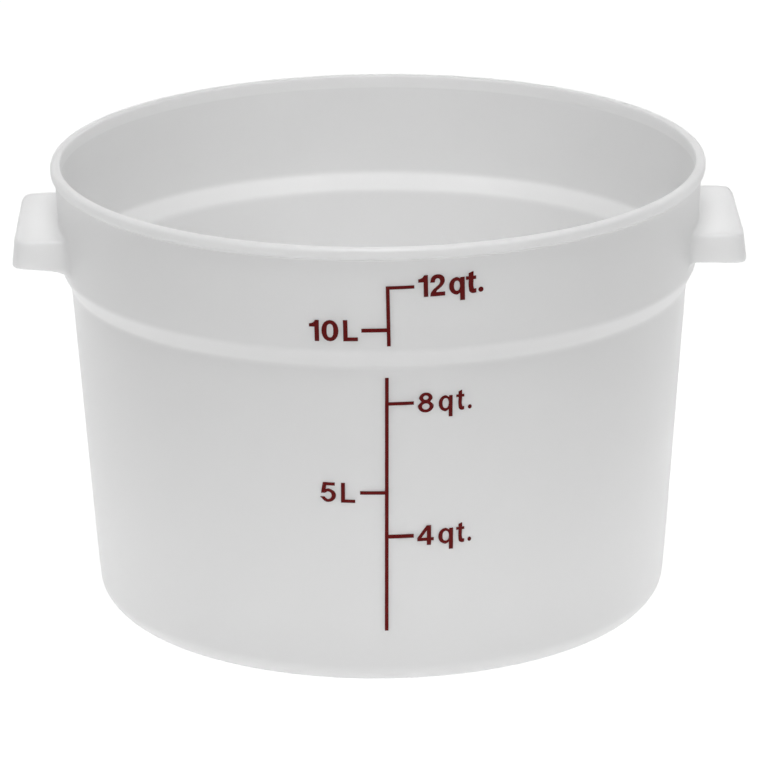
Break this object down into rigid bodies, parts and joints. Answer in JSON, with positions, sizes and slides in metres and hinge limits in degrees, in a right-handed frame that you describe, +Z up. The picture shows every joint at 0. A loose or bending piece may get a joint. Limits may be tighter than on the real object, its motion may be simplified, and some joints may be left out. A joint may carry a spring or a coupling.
{
  "type": "round food storage container",
  "caption": "Round open-topped food storage tub with a rim bead, a stepped shoulder, hooded side handles and a printed fill scale.",
  "frame": {"origin": "middle of the foot, on the surface the container stands on", "axes": "+Z up, +X and -X through the two handles, -Y towards the printed scale"},
  "size_m": [0.3394, 0.3056, 0.2128],
  "materials": {
    "polyethylene": "natural white, slightly see-through, soft sheen",
    "scale_ink": "screen-printed dark red ink, flat"
  },
  "bodies": {
    "root": {"container_shell": "polyethylene", "label_10L_0": "scale_ink", "label_10L_1": "scale_ink", "label_10L_L": "scale_ink", "label_12qt_1": "scale_ink", "label_12qt_2": "scale_ink", "label_12qt_point": "scale_ink", "label_12qt_q": "scale_ink", "label_12qt_t": "scale_ink", "label_4qt_4": "scale_ink", "label_4qt_point": "scale_ink", "label_4qt_q": "scale_ink", "label_4qt_t": "scale_ink", "label_5L_5": "scale_ink", "label_5L_L": "scale_ink", "label_8qt_8": "scale_ink", "label_8qt_point": "scale_ink", "label_8qt_q": "scale_ink", "label_8qt_t": "scale_ink", "scale_line_lower": "scale_ink", "scale_line_upper": "scale_ink"}
  },
  "joints": []
}
